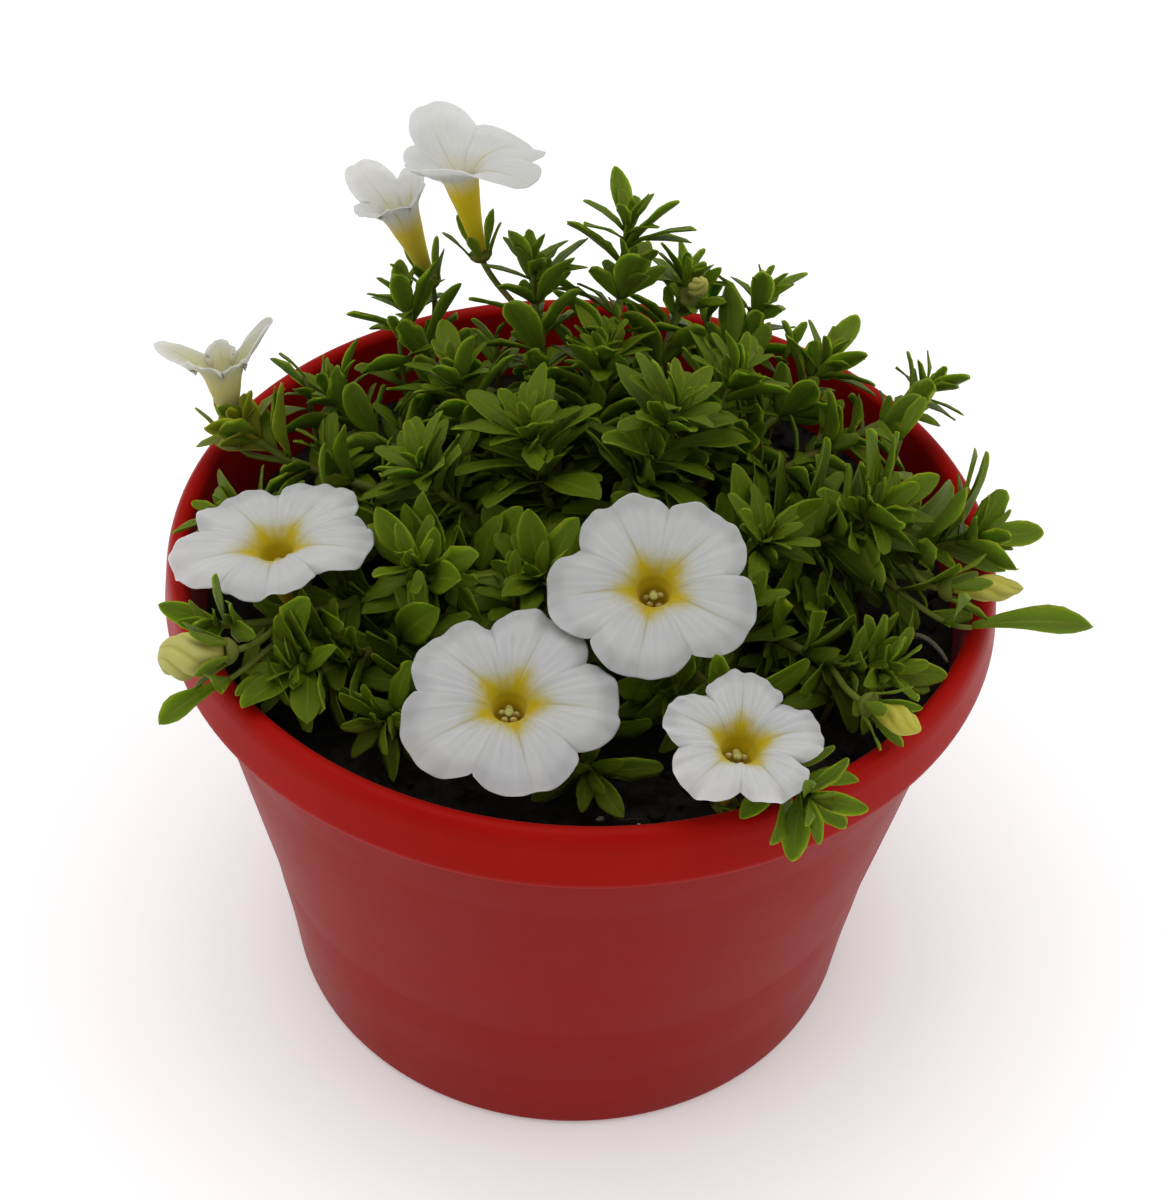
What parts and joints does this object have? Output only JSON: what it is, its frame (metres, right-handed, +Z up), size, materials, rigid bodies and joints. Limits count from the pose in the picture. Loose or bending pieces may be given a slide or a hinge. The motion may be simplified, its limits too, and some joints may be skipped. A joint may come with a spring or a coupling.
{
  "type": "potted calibrachoa",
  "caption": "Calibrachoa plant in a tapered red plastic pot: leafy stems rooted in compost, with white yellow-throated trumpet flowers and furled buds.",
  "frame": {"origin": "middle of the flat pad under the pot, on the surface that it stands on", "axes": "+Z up through the middle of the pot; -Y towards the side that the picture shows; +X to its right"},
  "size_m": [0.1431, 0.13, 0.1334],
  "materials": {
    "red_plastic": "satin",
    "compost": "moist and matte",
    "leaf": "soft, finely hairy",
    "petal": "velvety matte",
    "bud": "velvety matte"
  },
  "bodies": {
    "root": {"pot": "red_plastic", "soil": "compost", "leafy_stem_back_middle": "leaf", "leafy_stem_back_left_middle": "leaf", "leafy_stem_back_right_middle": "leaf", "leafy_stem_back_right": "leaf", "leafy_stem_right_back": "leaf", "leafy_stem_far_right_back": "leaf", "leafy_stem_back_left": "leaf", "leafy_stem_left_back": "leaf", "leafy_stem_far_left_back": "leaf", "leafy_stem_far_left": "leaf", "leafy_stem_right": "leaf", "leafy_stem_far_right": "leaf", "leafy_stem_right_front": "leaf", "leafy_stem_front_right": "leaf", "leafy_stem_left_front": "leaf", "leafy_stem_far_left_front": "leaf", "leafy_stem_front_left": "leaf", "leafy_stem_middle_left": "leaf", "leafy_stem_middle": "leaf", "leafy_stem_middle_right": "leaf", "leafy_stem_middle_low_left": "leaf", "leafy_stem_middle_front": "leaf", "leafy_stem_middle_back": "leaf", "leafy_stem_middle_back_right": "leaf", "leafy_stem_middle_back_left": "leaf", "leafy_stem_middle_right_front": "leaf", "leafy_stem_front_middle_right": "leaf", "leafy_stem_front_middle": "leaf", "bloom_left": "petal", "bloom_front_left": "petal", "bloom_front_middle": "petal", "bloom_front_right": "petal", "bloom_back": "petal", "bloom_back_left": "petal", "bloom_far_left_fading": "petal", "bud_far_left_front": "bud", "bud_far_right": "bud", "bud_right_front": "bud", "bud_back_right": "bud"}
  },
  "joints": []
}
